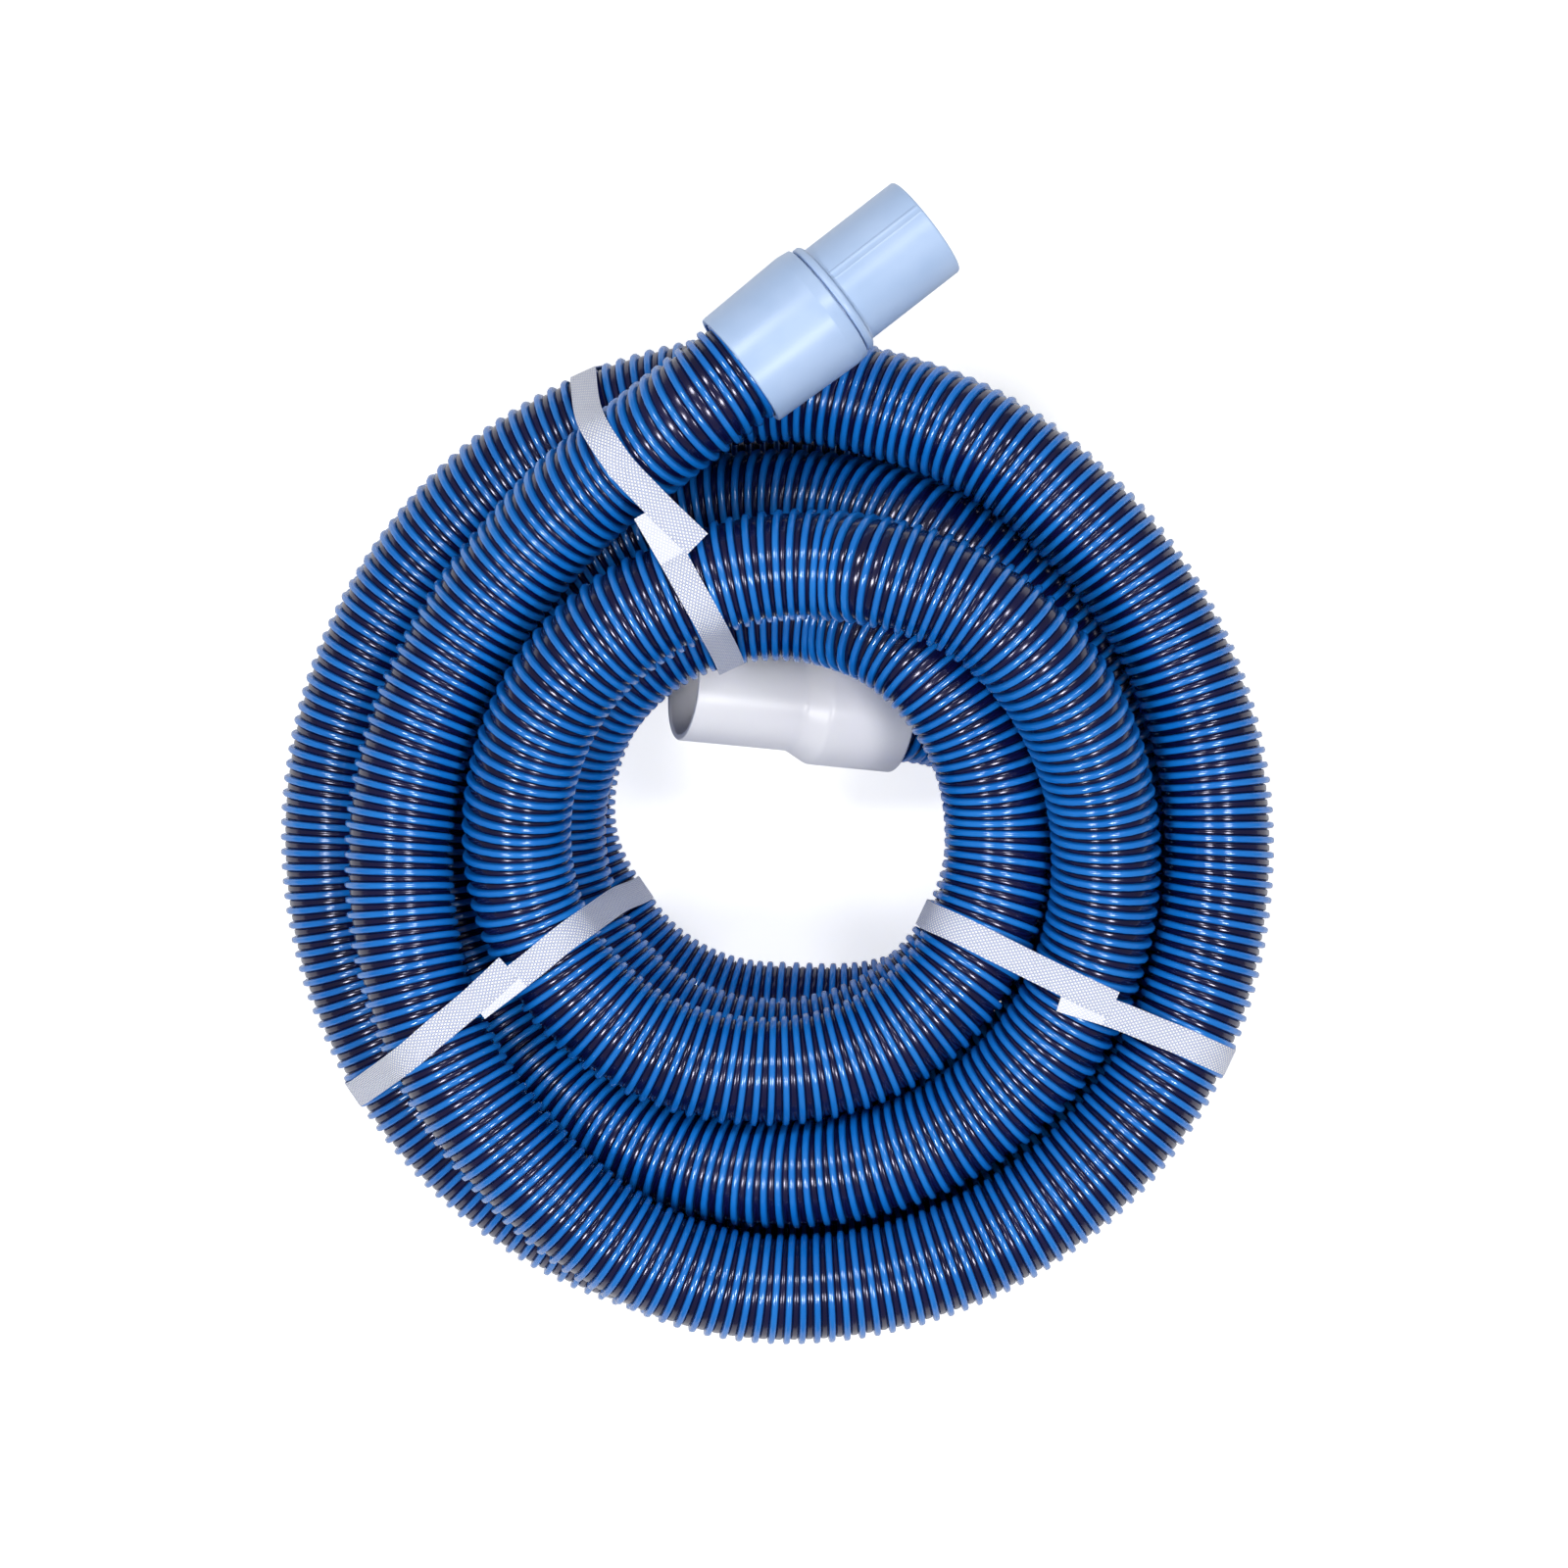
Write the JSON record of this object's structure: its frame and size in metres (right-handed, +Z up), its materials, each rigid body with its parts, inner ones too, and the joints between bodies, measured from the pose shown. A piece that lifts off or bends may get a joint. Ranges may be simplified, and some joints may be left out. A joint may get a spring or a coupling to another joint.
{
  "type": "pool vacuum hose",
  "caption": "Coiled ribbed pool vacuum hose with a swivel cuff at one end, a fixed cuff at the other, and woven tape bands that hold the coil.",
  "frame": {"origin": "under the middle of the whole object, on the surface that the three tapes stand on", "axes": "+Z up along the coil's axis, +Y towards the side where the swivel cuff lies on top of the coil"},
  "size_m": [0.4134, 0.4705, 0.1825],
  "materials": {
    "hose": "glossy blue outer bead over a glossy black bead",
    "fixed_cuff": "satin moulded plastic",
    "swivel_sleeve": "semi-gloss moulded plastic",
    "swivel_tube": "semi-gloss moulded plastic",
    "seal_washer": "matt rubber",
    "tape_band_1": "woven plastic tape",
    "tape_band_2": "woven plastic tape",
    "tape_band_3": "woven plastic tape"
  },
  "bodies": {
    "tied_hose": {"hose": "hose", "fixed_cuff": "fixed_cuff", "swivel_sleeve": "swivel_sleeve", "seal_washer": "seal_washer", "tape_band_1": "tape_band_1", "tape_band_2": "tape_band_2", "tape_band_3": "tape_band_3"},
    "swivel": {"swivel_tube": "swivel_tube"}
  },
  "joints": [
    {"name": "cuff_swivel", "type": "hinge", "parent": "tied_hose", "child": "swivel", "pos_m": [0.02167, 0.1873, 0.15386], "axis": [0.7875, 0.6153, -0.0349], "continuous": true}
  ]
}
